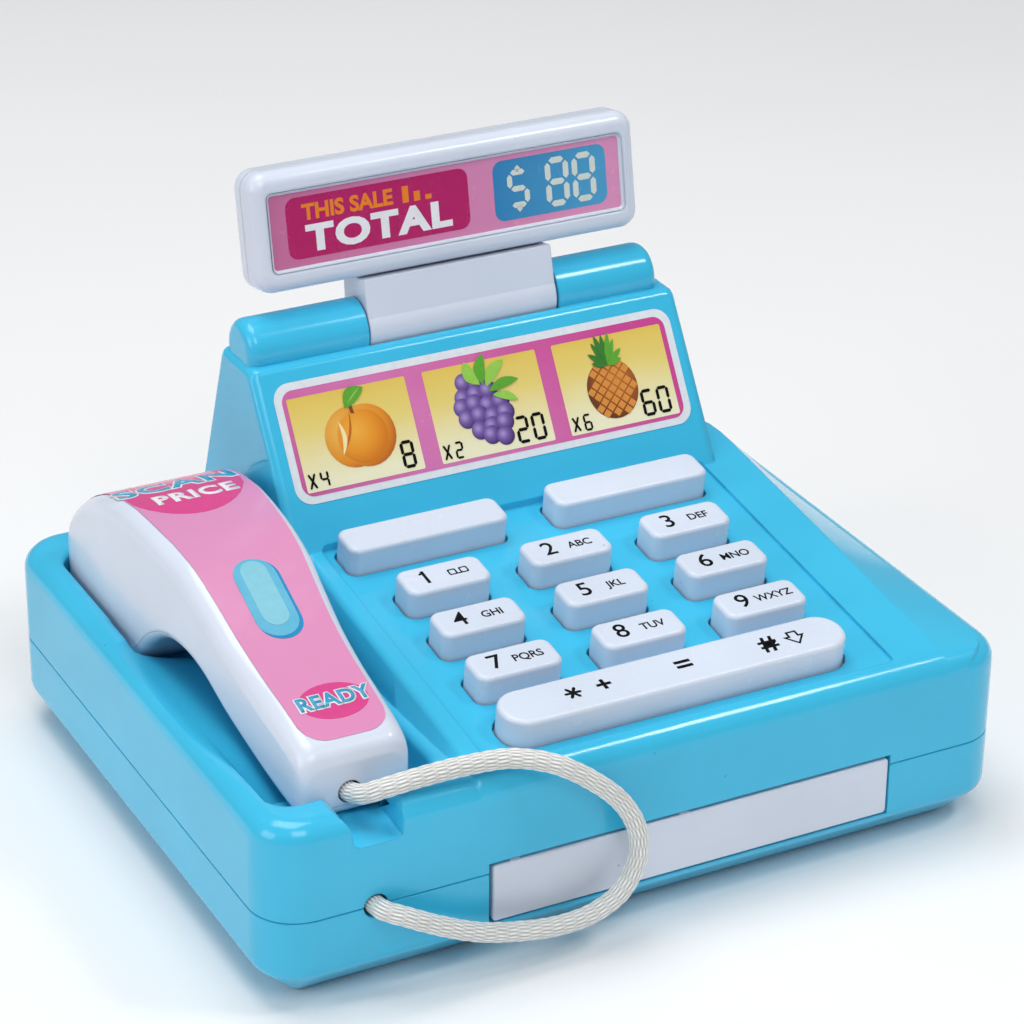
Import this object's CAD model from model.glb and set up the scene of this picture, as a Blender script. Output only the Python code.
import math

import bmesh
import bpy
from mathutils import Matrix, Vector


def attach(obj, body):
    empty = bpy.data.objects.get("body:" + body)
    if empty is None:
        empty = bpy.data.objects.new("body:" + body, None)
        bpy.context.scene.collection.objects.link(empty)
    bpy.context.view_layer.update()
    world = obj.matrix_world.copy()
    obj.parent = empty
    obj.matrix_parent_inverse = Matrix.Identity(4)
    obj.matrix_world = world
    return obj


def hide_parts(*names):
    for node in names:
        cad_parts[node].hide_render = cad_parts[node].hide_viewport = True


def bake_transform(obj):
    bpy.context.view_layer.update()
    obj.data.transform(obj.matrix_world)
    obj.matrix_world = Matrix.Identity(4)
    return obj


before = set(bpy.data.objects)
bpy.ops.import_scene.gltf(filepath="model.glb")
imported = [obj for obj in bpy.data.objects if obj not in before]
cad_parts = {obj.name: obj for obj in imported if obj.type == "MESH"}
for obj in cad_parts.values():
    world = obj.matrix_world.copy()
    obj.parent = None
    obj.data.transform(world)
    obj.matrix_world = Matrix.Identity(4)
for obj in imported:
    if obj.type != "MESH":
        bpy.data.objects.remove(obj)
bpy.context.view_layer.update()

MM = 0.001

# ---- driving dimensions ------------------------------------------------------------------
# Measures on the deck, such as the rows of keys, run up the slope from its front edge.
WIDTH = 150
DEPTH = 123
CORNER = 9
WALL = 2.2
SEAM = 0.12
PART_LINE = 18.8
RIM_Z = 37.5
RIM_ROUND = 4
FRONT_Y = -DEPTH / 2

DECK_FRONT_Z = 38
DECK_SLOPE = math.radians(7.37)
DECK_LEFT = -34.5
DECK_RIGHT = 61
DECK_REAR_Y = 22
# the sunken field round the keys, on the deck: left, right, front and rear
FIELD = (-31.2, 51.5, 3.6, 74.4)
FIELD_DEEP = 0.6
SCREW_X = 62
SCREW_Y = 48.6

TOWER_LEFT = -37
TOWER_RIGHT = 54.5
FACE_SLOPE = math.radians(58.15)
FACE_Y = 16.3
FACE_Z = 55.05
TOWER_TOP = 77.6

HINGE_Y = 37.8
HINGE_Z = 79
BARREL_R = 6
KNUCKLE_R = 5.7
KNUCKLE = (-11, 29)
BARRELS = (-36, 51.6)
TRUNNION_R = 2.2

CENTRE_X = 9
KEY_W = 17
KEY_D = 8
KEY_TOP = 4.9
KEY_PITCH_X = 25.5
KEY_ROWS = (52.5, 38.4, 24.3)
BLANK_W = 33
BLANK_U = 68.9
BLANK_X = 21.7
BAR_W = 70
BAR_D = 10
BAR_U = 11.1
BAR_STEM = 24
FLANGE_TOP = -2.6
FLANGE_BOTTOM = -3.8
PLATE_TOP = -9.4
STEM_R = 1.6
STEM_END = -13

# the drawer's front: left, right, low and high
DRAWER = (-32.4, 49.2, 8.6, 20.1)
TRAY = (-29.6, 46.4)
TRAY_REAR = -3
TRAVEL = 45

SIGN_TILT = math.radians(79.4)
SIGN_W = 81.5
SIGN_H = 23.2
SIGN_CX = 8.5
SIGN_DEEP = 9
LABEL_W = 74.5
LABEL_H = 14.6
LABEL_RISE = 11.5

SCAN_X = -54
# how far up its side the scanner is split, as a share of its height
SCAN_SPLIT = 0.09
SCAN_FRONT = -52
SCAN_REAR = 50.4
SCAN_WALL = 1.8
# stations along the hand scanner: y, top, underside, half width
STATIONS = (
    (-52, 42.6, 33.4, 9.6), (-51.2, 44.4, 32.5, 10.2), (-48.5, 46, 32.2, 10.6), (-40, 48.2, 33.4, 10.9),
    (-31, 50.1, 35.4, 11.2), (-22, 52.8, 38, 11.6), (-13, 56.6, 41.8, 12.2), (-6, 59.4, 43.2, 12.8),
    (2, 60.8, 42.2, 13.4), (9, 61.2, 38, 13.9), (14.5, 61.3, 31.8, 14.2), (19, 61.1, 29.4, 14.4),
    (28, 59.3, 29, 14.6), (37, 55.4, 29, 14.6), (44.5, 50, 29.4, 14.4), (49, 44.4, 31, 13.6),
    (50.4, 40, 33.5, 12.6),
)

CORD_D = 3.6
CORD_HOLE_X = -55
PRINT_THICK = 0.05
CORD_ROUTE = (
    (-55.4, -49.4, 36.6), (-55.4, -52.6, 36.8), (-54.6, -55.8, 37.9), (-51.2, -58, 39.5),
    (-45.6, -58.9, 40.4), (-36.6, -59.4, 40.7), (-28.4, -60.9, 40.7), (-21.6, -63.8, 39.2),
    (-14.6, -65.7, 34.6), (-9.6, -66, 29.4), (-6.6, -66, 23.8), (-5.9, -66, 18.6), (-7.2, -66, 14),
    (-10, -66, 10.4), (-14.8, -66, 8.1), (-21.6, -66, 7.5), (-29.4, -66, 8.6), (-37.4, -66, 10.8),
    (-45, -65.8, 14.3), (-51, -65, 17.4), (-54.4, -63.2, 18.7), (CORD_HOLE_X, -60.6, PART_LINE),
    (CORD_HOLE_X, -57.7, PART_LINE),
)

# frames of the deck, of the sloping face with the price sticker, and of the sign's front
DECK = Matrix.Translation(Vector((0, FRONT_Y, DECK_FRONT_Z)) * MM) @ Matrix.Rotation(DECK_SLOPE, 4, "X")
STICKER = Matrix.Translation(Vector((0, FACE_Y, FACE_Z)) * MM) @ Matrix.Rotation(FACE_SLOPE, 4, "X")
SIGN = Matrix.Translation(Vector((0, 35.2, 89.9)) * MM) @ Matrix.Rotation(SIGN_TILT, 4, "X")


# ---- camera ------------------------------------------------------------------------------
def aim_camera():
    yaw, pitch, roll = (math.radians(a) for a in (-27.72, 26.92, 0.63))
    ahead = Vector((-math.sin(yaw) * math.cos(pitch), math.cos(yaw) * math.cos(pitch), -math.sin(pitch)))
    right = Vector((math.cos(yaw), math.sin(yaw), 0))
    up = right.cross(ahead)
    across = right * math.cos(roll) + up * math.sin(roll)
    rise = up * math.cos(roll) - right * math.sin(roll)
    bpy.ops.object.camera_add()
    camera = bpy.context.object
    camera.name = "camera"
    camera.matrix_world = Matrix.Translation((-0.26806, -0.51543, 0.34903)) @ Matrix(
        (across, rise, -ahead)).transposed().to_4x4()
    camera.data.sensor_width = 36
    camera.data.lens = 122.4
    bpy.context.scene.camera = camera


# ---- hand tools --------------------------------------------------------------------------
def only(*objects):
    bpy.ops.object.select_all(action="DESELECT")
    for o in objects:
        o.select_set(True)
    bpy.context.view_layer.objects.active = objects[0]


def settle(obj, matrix=None):
    """Puts a piece's place into its mesh, so that its object stays at the origin."""
    if matrix is not None:
        obj.matrix_world = matrix @ obj.matrix_world
    only(obj)
    bpy.ops.object.transform_apply(location=True, rotation=True, scale=True)
    return obj


def block(name, x, y, z):
    """A block between two places along each axis."""
    bpy.ops.object.select_all(action="DESELECT")
    bpy.ops.mesh.primitive_cube_add(
        size=1, location=[sum(r) / 2 * MM for r in (x, y, z)], scale=[(r[1] - r[0]) * MM for r in (x, y, z)])
    obj = bpy.context.object
    obj.name = name
    return settle(obj)


def rod(name, radius, start, end, sides=48):
    """A round bar from one place to another."""
    a, b = Vector(start) * MM, Vector(end) * MM
    bpy.ops.object.select_all(action="DESELECT")
    bpy.ops.mesh.primitive_cone_add(
        vertices=sides, radius1=radius * MM, radius2=radius * MM,
        depth=(b - a).length, location=(a + b) / 2, rotation=(b - a).to_track_quat("Z", "Y").to_euler())
    obj = bpy.context.object
    obj.name = name
    return settle(obj)


def upright(a, b):
    return abs(a.x - b.x) < 0.01 and abs(a.y - b.y) < 0.01


def level(z, axis=2):
    return lambda a, b: abs(a[axis] - z) < 0.01 and abs(b[axis] - z) < 0.01


def choose(obj, kind, test):
    """Opens a piece for editing with only the edges or faces that pass the test selected."""
    only(obj)
    bpy.ops.object.mode_set(mode="EDIT")
    bpy.ops.mesh.select_mode(type=kind)
    bpy.ops.mesh.select_all(action="DESELECT")
    mesh = bmesh.from_edit_mesh(obj.data)
    if kind == "EDGE":
        for edge in mesh.edges:
            if test(*(v.co / MM for v in edge.verts)):
                edge.select_set(True)
    else:
        for face in mesh.faces:
            if test(face.calc_center_median() / MM, face.normal):
                face.select_set(True)
    bmesh.update_edit_mesh(obj.data)


def soften(obj, test, width, segments):
    """Rounds over the edges that pass the test."""
    choose(obj, "EDGE", test)
    bpy.ops.mesh.bevel(offset=width * MM, segments=segments, affect="EDGES")
    bpy.ops.object.mode_set(mode="OBJECT")
    return obj


def rounded(points, radii, steps=5):
    """An outline with the corners of its polygon drawn as arcs."""
    made = []
    count = len(points)
    for k, point in enumerate(points):
        radius = radii[k] if isinstance(radii, (list, tuple)) else radii
        here = Vector(point)
        if not radius:
            made.append(here)
            continue
        back = (Vector(points[k - 1]) - here).normalized()
        on = (Vector(points[(k + 1) % count]) - here).normalized()
        half = back.angle(on) / 2
        if half > 1.55:
            made += [here + (on - back) * (s / steps - 0.5) * 0.3 for s in range(steps + 1)]
            continue
        centre = here + (back + on).normalized() * radius / math.sin(half)
        reach = radius / math.tan(half)
        a, b = here + back * reach - centre, here + on * reach - centre
        turn = a.angle_signed(b)
        for s in range(steps + 1):
            made.append(centre + Matrix.Rotation(-turn * s / steps, 2) @ a)
    return made


def oblong(x0, x1, y0, y1, radius, steps=5):
    return rounded([(x0, y0), (x1, y0), (x1, y1), (x0, y1)], radius, steps)


def hull(name, rings):
    """A ring drawn out through further rings of equal count, and closed at both ends."""
    bpy.ops.object.select_all(action="DESELECT")
    bpy.ops.mesh.primitive_circle_add(vertices=len(rings[0]), radius=MM)
    obj = bpy.context.object
    obj.name = name
    settle(obj)
    bpy.ops.object.mode_set(mode="EDIT")
    bpy.ops.mesh.select_mode(type="EDGE")
    bpy.ops.mesh.select_all(action="SELECT")
    mesh = bmesh.from_edit_mesh(obj.data)
    order = mesh.verts.layers.int.new("order")
    mesh.verts.ensure_lookup_table()
    for vertex in mesh.verts:
        vertex[order] = vertex.index
        vertex.co = Vector(rings[0][vertex.index]) * MM
    for ring in rings[1:]:
        bpy.ops.mesh.extrude_region_move()
        mesh = bmesh.from_edit_mesh(obj.data)
        order = mesh.verts.layers.int["order"]
        for vertex in mesh.verts:
            if vertex.select:
                vertex.co = Vector(ring[vertex[order]]) * MM
    mesh.verts.layers.int.remove(order)
    bmesh.update_edit_mesh(obj.data)
    bpy.ops.mesh.select_all(action="SELECT")
    bpy.ops.mesh.fill_holes(sides=0)
    bpy.ops.mesh.select_all(action="SELECT")
    bpy.ops.mesh.normals_make_consistent(inside=False)
    bpy.ops.object.mode_set(mode="OBJECT")
    return obj


def plate(name, outline, low, high):
    """A flat plate of an outline, between two heights."""
    return hull(name, [[(x, y, z) for x, y in outline] for z in (low, high)])


def combine(obj, other, how):
    only(obj)
    step = obj.modifiers.new("combine", "BOOLEAN")
    step.operation = how
    step.solver = "EXACT"
    step.object = other
    bpy.ops.object.modifier_apply(modifier=step.name)
    bpy.data.objects.remove(other)
    return obj


def add(obj, *others):
    for other in others:
        combine(obj, other, "UNION")
    return obj


def carve(obj, *others):
    for other in others:
        combine(obj, other, "DIFFERENCE")
    return obj


def gathered(name, pieces):
    """Several meshes as one."""
    only(*pieces)
    bpy.ops.object.join()
    pieces[0].name = name
    return pieces[0]


def copy_of(obj, name, matrix):
    made = obj.copy()
    made.data = obj.data.copy()
    made.name = name
    bpy.context.scene.collection.objects.link(made)
    return settle(made, matrix)


def discard(*objects):
    for o in objects:
        bpy.data.objects.remove(o)


def smooth(obj, degrees=32):
    """Soft shading, with edges sharper than the angle kept crisp."""
    only(obj)
    bpy.ops.object.shade_smooth_by_angle(angle=math.radians(degrees))
    weigh = obj.modifiers.new("weigh", "WEIGHTED_NORMAL")
    weigh.keep_sharp = True
    bpy.ops.object.modifier_apply(modifier=weigh.name)
    return obj


def shift(x=0, y=0, z=0):
    return Matrix.Translation(Vector((x, y, z)) * MM)


def finish_piece(obj, body, material, slot, *nodes):
    """Gives a piece its material, the body it moves with, its slot and the nodes it stands for."""
    obj.data.materials.clear()
    obj.data.materials.append(material)
    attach(obj, body)
    if nodes:
        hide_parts(*nodes)
    return obj


# ---- finishes ----------------------------------------------------------------------------
def colour(r, g, b):
    """A display colour, 0 to 255, as the linear one a shader takes."""
    shares = (c / 255 for c in (r, g, b))
    return tuple(c / 12.92 if c <= 10 / 255 else ((c + 0.055) / 1.055) ** 2.4 for c in shares) + (1,)


def dimmed(tint, share):
    return tuple(c * share for c in tint[:3]) + (1,)


def new_finish(name):
    """A new material, its nodes, its shader, and places on the piece in metres."""
    made = bpy.data.materials.new(name)
    made.use_nodes = True
    tree = made.node_tree
    shader = tree.nodes["Principled BSDF"]
    place = tree.nodes.new("ShaderNodeTexCoord")
    return made, tree, shader, place.outputs["Object"]


def noise(tree, place, scale, detail=2.0):
    node = tree.nodes.new("ShaderNodeTexNoise")
    node.inputs["Scale"].default_value = scale
    node.inputs["Detail"].default_value = detail
    tree.links.new(place, node.inputs["Vector"])
    return node.outputs["Fac"]


def between(tree, value, low, high, start=0.3, end=0.7):
    node = tree.nodes.new("ShaderNodeMapRange")
    node.inputs["From Min"].default_value = start
    node.inputs["From Max"].default_value = end
    node.inputs["To Min"].default_value = low
    node.inputs["To Max"].default_value = high
    tree.links.new(value, node.inputs["Value"])
    return node.outputs["Result"]


def ramp(tree, value, stops):
    node = tree.nodes.new("ShaderNodeValToRGB")
    line = node.color_ramp
    while len(line.elements) < len(stops):
        line.elements.new(0.5)
    for element, (where, tint) in zip(line.elements, stops):
        element.position = where
        element.color = tint
    tree.links.new(value, node.inputs["Fac"])
    return node.outputs["Color"]


def bump(tree, height, distance, strength=1.0, normal=None):
    node = tree.nodes.new("ShaderNodeBump")
    node.inputs["Distance"].default_value = distance
    node.inputs["Strength"].default_value = strength
    tree.links.new(height, node.inputs["Height"])
    if normal is not None:
        tree.links.new(normal, node.inputs["Normal"])
    return node.outputs["Normal"]


def uneven_gloss(tree, shader, place, low, high, scale=300, detail=2.0):
    gloss = between(tree, noise(tree, place, scale, detail), low, high)
    tree.links.new(gloss, shader.inputs["Roughness"])


def moulded(name, tint, roughness, wave=0.16, edge=0.0004, specks=True):
    """Moulded plastic: faint flow marks in its colour, uneven gloss, a slightly wavy skin, soft edges."""
    made, tree, shader, place = new_finish(name)
    deep = dimmed(tint, 0.94)
    pale = tuple(min(1, c * 1.04 + 0.004) for c in tint[:3]) + (1,)
    skin = ramp(tree, noise(tree, place, 26, 3), [(0.3, deep), (0.7, pale)])
    if specks:
        dots = tree.nodes.new("ShaderNodeTexVoronoi")
        dots.inputs["Scale"].default_value = 95
        tree.links.new(place, dots.inputs["Vector"])
        dirt = between(tree, dots.outputs["Distance"], 0.4, 0, 0.02, 0.035)
        mix = tree.nodes.new("ShaderNodeMix")
        mix.data_type = "RGBA"
        tree.links.new(dirt, mix.inputs["Factor"])
        tree.links.new(skin, mix.inputs["A"])
        mix.inputs["B"].default_value = dimmed(tint, 0.35)
        skin = mix.outputs["Result"]
    tree.links.new(skin, shader.inputs["Base Color"])
    uneven_gloss(tree, shader, place, roughness * 0.93, roughness * 1.08, 130)
    soft = tree.nodes.new("ShaderNodeBevel")
    soft.samples = 4
    soft.inputs["Radius"].default_value = edge
    tree.links.new(bump(tree, noise(tree, place, 55, 1), 0.001, wave, soft.outputs["Normal"]),
                   shader.inputs["Normal"])
    shader.inputs["IOR"].default_value = 1.47
    return made


def ink(name, tint, roughness, shine=0.5):
    """Flat printing of one colour."""
    made, tree, shader, place = new_finish(name)
    skin = ramp(tree, noise(tree, place, 700, 3), [(0.35, dimmed(tint, 0.95)), (0.65, tint)])
    tree.links.new(skin, shader.inputs["Base Color"])
    uneven_gloss(tree, shader, place, roughness * 0.8, roughness * 1.2)
    shader.inputs["Specular IOR Level"].default_value = shine
    return made


def shaded_ink(name, matrix, direction, stops, roughness):
    """Printing whose colour runs along a direction in the frame of its sheet."""
    made, tree, shader, place = new_finish(name)
    lay = tree.nodes.new("ShaderNodeVectorMath")
    lay.operation = "DOT_PRODUCT"
    tree.links.new(place, lay.inputs[0])
    along = matrix.to_3x3() @ Vector(direction)
    lay.inputs[1].default_value = along
    first, last = stops[0][0], stops[-1][0]
    base = along.dot(matrix.translation)
    spread = between(tree, lay.outputs["Value"], 0, 1, base + first * MM, base + last * MM)
    wobble = tree.nodes.new("ShaderNodeMath")
    wobble.operation = "MULTIPLY_ADD"
    tree.links.new(noise(tree, place, 90, 2), wobble.inputs[0])
    wobble.inputs[1].default_value = 0.18
    tree.links.new(spread, wobble.inputs[2])
    bands = [((s - first) / (last - first), c) for s, c in stops]
    tree.links.new(ramp(tree, wobble.outputs["Value"], bands), shader.inputs["Base Color"])
    uneven_gloss(tree, shader, place, roughness * 0.7, roughness * 1.3)
    tree.links.new(bump(tree, noise(tree, place, 110, 2), 0.001, 0.12), shader.inputs["Normal"])
    return made


def round_ink(name, stops, roughness=0.3):
    """Printing whose colour runs outwards from the middle of each disc."""
    made, tree, shader, _ = new_finish(name)
    spot = tree.nodes.new("ShaderNodeUVMap")
    away = tree.nodes.new("ShaderNodeVectorMath")
    away.operation = "DISTANCE"
    away.inputs[1].default_value = (0.36, 0.62, 0)
    tree.links.new(spot.outputs["UV"], away.inputs[0])
    tree.links.new(ramp(tree, away.outputs["Value"], stops), shader.inputs["Base Color"])
    shader.inputs["Roughness"].default_value = roughness
    return made


def metal(name, tint, roughness):
    """Bright plating with a faintly mottled colour and gloss."""
    made, tree, shader, place = new_finish(name)
    shader.inputs["Metallic"].default_value = 1
    skin = ramp(tree, noise(tree, place, 500, 3), [(0.3, dimmed(tint, 0.85)), (0.7, tint)])
    tree.links.new(skin, shader.inputs["Base Color"])
    uneven_gloss(tree, shader, place, roughness * 0.7, roughness * 1.4, 900, 3)
    return made


def satin(name):
    """Satin braid: bright thread over grey-beige hollows, with fine filaments along each strand."""
    made, tree, shader, _ = new_finish(name)
    uv = tree.nodes.new("ShaderNodeUVMap")
    stretch = tree.nodes.new("ShaderNodeMapping")
    stretch.inputs["Scale"].default_value = (1400, 140, 1)
    tree.links.new(uv.outputs["UV"], stretch.inputs["Vector"])
    threads = noise(tree, stretch.outputs["Vector"], 1, 3)
    depth = tree.nodes.new("ShaderNodeAttribute")
    depth.attribute_name = "crown"
    skin = ramp(tree, depth.outputs["Fac"], [
        (0.0, colour(140, 140, 134)), (0.45, colour(212, 213, 208)), (0.75, colour(240, 241, 240)),
        (1.0, colour(254, 254, 254))])
    shade = tree.nodes.new("ShaderNodeMix")
    shade.data_type = "RGBA"
    shade.blend_type = "MULTIPLY"
    shade.inputs["Factor"].default_value = 0.4
    tree.links.new(skin, shade.inputs["A"])
    tree.links.new(ramp(tree, threads, [(0.3, (0.62, 0.6, 0.56, 1)), (0.6, (1, 1, 1, 1))]),
                   shade.inputs["B"])
    tree.links.new(shade.outputs["Result"], shader.inputs["Base Color"])
    tree.links.new(between(tree, threads, 0.28, 0.5), shader.inputs["Roughness"])
    tree.links.new(bump(tree, threads, 0.0003, 0.35), shader.inputs["Normal"])
    shader.inputs["Specular IOR Level"].default_value = 0.8
    shader.inputs["Sheen Weight"].default_value = 0.3
    shader.inputs["Sheen Roughness"].default_value = 0.4
    return made


BLUE = moulded("blue_moulded_plastic", colour(60, 190, 230), 0.14)
BLUE_INSIDE = moulded("blue_plastic_inside", colour(60, 160, 205), 0.4, specks=False)
WHITE = moulded("white_moulded_plastic", colour(214, 222, 236), 0.2)
KEY = moulded("white_key_plastic", colour(213, 223, 238), 0.26, wave=0.07, edge=0.0003)
STEEL = metal("zinc_plated_steel", colour(205, 208, 212), 0.3)
CORD = satin("white_satin_braid")
FILM = ink("white_sticker_film", colour(226, 232, 238), 0.25)
BLACK = ink("black_printing", colour(4, 4, 6), 0.5, 0.12)
INK_WHITE = ink("white_printing", colour(238, 238, 242), 0.3)
MAGENTA = ink("magenta_printing", colour(184, 12, 100), 0.25)
CYAN = ink("cyan_printing", colour(50, 158, 200), 0.25)
ORANGE = ink("orange_printing", colour(240, 130, 30), 0.3)


# ---- cord --------------------------------------------------------------------------------
def drawn_through(points, steps):
    """One smooth curve through the points, sampled evenly in each stretch."""
    spots = [Vector(p) for p in points]
    spots = [spots[0] * 2 - spots[1], *spots, spots[-1] * 2 - spots[-2]]
    line = []
    for a, b, c, d in zip(spots, spots[1:], spots[2:], spots[3:]):
        ta = 0
        tb = ta + (b - a).length ** 0.5
        tc = tb + (c - b).length ** 0.5
        td = tc + (d - c).length ** 0.5
        for k in range(steps):
            t = tb + (tc - tb) * k / steps
            ab = a * (tb - t) / (tb - ta) + b * (t - ta) / (tb - ta)
            bc = b * (tc - t) / (tc - tb) + c * (t - tb) / (tc - tb)
            cd = c * (td - t) / (td - tc) + d * (t - tc) / (td - tc)
            abc = ab * (tc - t) / (tc - ta) + bc * (t - ta) / (tc - ta)
            bcd = bc * (td - t) / (td - tb) + cd * (t - tb) / (td - tb)
            line.append(abc * (tc - t) / (tc - tb) + bcd * (t - tb) / (tc - tb))
    return [*line, spots[-2]]


def even(line, step):
    """The same line with its points a set distance apart."""
    made = [line[0]]
    left = step
    for a, b in zip(line, line[1:]):
        length = (b - a).length
        at = left
        while at <= length:
            made.append(a.lerp(b, at / length))
            at += step
        left = at - length
    return made


def braid(name, route, radius, carriers=16, repeat=4.6, around=96, step=0.23):
    """A braided round cord: two families of strands cross over and under round its centreline."""
    line = even(route, step)
    side = Vector((0, 0, 1))
    points, crowns, spots = [], [], []
    for k, here in enumerate(line):
        ahead = (line[min(k + 1, len(line) - 1)] - line[max(k - 1, 0)]).normalized()
        side = (side - ahead * side.dot(ahead)).normalized()
        other = ahead.cross(side)
        along = k * step / repeat
        for i in range(around):
            turn = i / around * math.pi * 2
            a = carriers * i / around + along
            b = carriers * i / around - along
            over = (math.floor(a) + math.floor(b)) % 2 == 0
            width, length = (a % 1, b % 1) if over else (b % 1, a % 1)
            crown = math.sin(math.pi * width) ** 0.7 * (0.35 + 0.65 * math.sin(math.pi * length) ** 0.6)
            reach = radius * (0.88 + 0.13 * crown)
            points.append((here + (side * math.cos(turn) + other * math.sin(turn)) * reach) * MM)
            crowns.append(crown)
            spots.append((i / around * 2 * math.pi * radius * MM + k * step * MM * 0.35 * (1 if over else -1),
                          k * step * MM))
    faces = [tuple(reversed(range(around))), tuple(range(len(points) - around, len(points)))]
    for k in range(len(line) - 1):
        for i in range(around):
            j = (i + 1) % around
            faces.append((k * around + i, k * around + j, (k + 1) * around + j, (k + 1) * around + i))
    mesh = bpy.data.meshes.new(name)
    mesh.from_pydata(points, [], faces)
    level_of = mesh.attributes.new("crown", "FLOAT", "POINT")
    level_of.data.foreach_set("value", crowns)
    layer = mesh.uv_layers.new(name="UVMap")
    for loop in mesh.loops:
        layer.data[loop.index].uv = spots[loop.vertex_index]
    obj = bpy.data.objects.new(name, mesh)
    bpy.context.scene.collection.objects.link(obj)
    only(obj)
    bpy.ops.object.shade_smooth()
    return obj


def make_cord():
    route = drawn_through(CORD_ROUTE, 12)
    cord = braid("braided_cord", route, CORD_D / 2)
    cord.data.materials.append(CORD)
    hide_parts("tether_cord")
    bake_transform(cord)
    [p * MM for p in even(route, 1)]


# ---- case --------------------------------------------------------------------------------
def deck_z(y):
    return DECK_FRONT_Z + (y - FRONT_Y) * math.tan(DECK_SLOPE)


def face_y(z):
    return FACE_Y + (z - FACE_Z) / math.tan(FACE_SLOPE)


def console(inset):
    """The raised part with the sloping deck. Its right flank falls to the edge of the case."""
    def section(y, drop):
        deck = deck_z(y) - drop - inset * 1.01
        low = 28 - inset
        turn = max(FRONT_Y + CORNER - y, 0)
        left = DECK_LEFT + inset
        right = WIDTH / 2 - CORNER + math.sqrt(max(CORNER ** 2 - turn ** 2, 0)) - 3.2 - inset
        right = max(right, DECK_RIGHT + 1.5)
        corners = [(left - 3.8, low), (left - 3.8, min(RIM_Z - 3, deck - 3)), (left, deck),
                   (DECK_RIGHT - 0.5 * inset, deck), (right, min(RIM_Z - 0.05 - inset, deck)), (right, low)]
        return [(x, y, z) for x, z in rounded(corners, [0, 1.2, 1.8, 1.2, 0, 0], 4)]
    front = []
    for k in range(6):
        angle = k / 5 * math.pi / 2
        front.append((FRONT_Y + inset + RIM_ROUND * (1 - math.cos(angle)), RIM_ROUND * (1 - math.sin(angle))))
    front += [(FRONT_Y + RIM_ROUND + 5 * k, 0) for k in range(1, 15)]
    rear = [(DECK_REAR_Y - 4, 0), (DECK_REAR_Y, 0.2), (DECK_REAR_Y + 4, 0.8), (DECK_REAR_Y + 9, 2.2),
            (DECK_REAR_Y + 17, 6), (DECK_REAR_Y + 24 - inset, 10.5), (DECK_REAR_Y + 30 - inset, 15)]
    body = hull("console", [section(y, drop) for y, drop in front + rear])
    ground = oblong(-WIDTH / 2 + inset, WIDTH / 2 - inset, FRONT_Y + inset, -FRONT_Y - inset,
                    CORNER - inset, 10)
    return combine(body, plate("ground", ground, 20, 62), "INTERSECT")


def tower(inset):
    top = 69.5 if inset else TOWER_TOP
    profile = rounded([(face_y(34) + inset * 1.2, 34), (face_y(top) + inset * 1.2, top), (44.2 - inset, top),
                       (58 - inset, 36), (58 - inset, 34)], [0, 2.2, 1.4, 0, 0], 5)
    middle = (sum((Vector(p) for p in profile), Vector((0, 0))) / len(profile))
    edge = 2 if not inset else 0.5
    rings = []
    for k in range(5):
        angle = k / 4 * math.pi / 2
        rings.append((TOWER_LEFT + inset + edge * (1 - math.cos(angle)), edge * (1 - math.sin(angle))))
    rings += [(TOWER_LEFT + TOWER_RIGHT - x, trim) for x, trim in reversed(rings)]
    def ring(x, trim):
        placed = []
        for p in profile:
            arm = Vector(p) - middle
            y, z = middle + arm * (1 - trim / arm.length)
            placed.append((x, y, z))
        return placed
    return hull("tower", [ring(x, trim) for x, trim in rings])


def pocket(name, x, y, floor, top, corner, lip, slope=0.0):
    """A cutter for a hollow whose mouth opens out in a quarter circle, for a soft edge all round."""
    body = block(name, x, y, (floor, top - lip))
    soften(body, upright, corner, 6)
    soften(body, level(floor), 1.2, 3)
    cx, cy = sum(x) / 2, sum(y) / 2
    wide, deep = x[1] - x[0], y[1] - y[0]
    choose(body, "FACE", lambda c, n: n.z > 0.9 and c.z > top - lip - 0.1)
    steps = 5
    for k in range(1, steps + 1):
        now, was = (s / steps * math.pi / 2 for s in (k, k - 1))
        bpy.ops.mesh.extrude_region_move(
            TRANSFORM_OT_translate={"value": (0, 0, lip * (math.sin(now) - math.sin(was)) * MM)})
        grown = [(span + 2 * lip * (1 - math.cos(now))) / (span + 2 * lip * (1 - math.cos(was)))
                 for span in (wide, deep)]
        bpy.ops.transform.resize(value=(grown[0], grown[1], 1), center_override=Vector((cx, cy, top)) * MM)
    bpy.ops.mesh.extrude_region_move(TRANSFORM_OT_translate={"value": (0, 0, 9 * MM)})
    bpy.ops.object.mode_set(mode="OBJECT")
    return body


def cradle(grow):
    head = pocket("head_pocket", (-69.6 - grow, -38.6 + grow), (13 - grow, 51.4 + grow), 28.7 - grow, RIM_Z,
                  6 + grow, 0.4 if grow else 0.9)
    lean = [(28.7 - grow, 5.4, 1), (31 - grow, 3.6, 0), (34, 1.6, 0)]
    lip = 1.8
    for k in range(6):
        angle = k / 5 * math.pi / 2
        out = lip * (1 - math.cos(angle))
        lean.append((RIM_Z - lip + lip * math.sin(angle), 0.6 - out, -out))
    lean.append((RIM_Z + 8, 0.6 - lip, -lip))
    channel = hull("handle_channel", [
        [(x, y, z) for x, y in oblong(
            -70 - grow + left, -38.6 + grow - other, -52.4 - grow + other, 26, 5 + grow, 6)]
        for z, left, other in lean])
    return add(head, channel)


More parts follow.
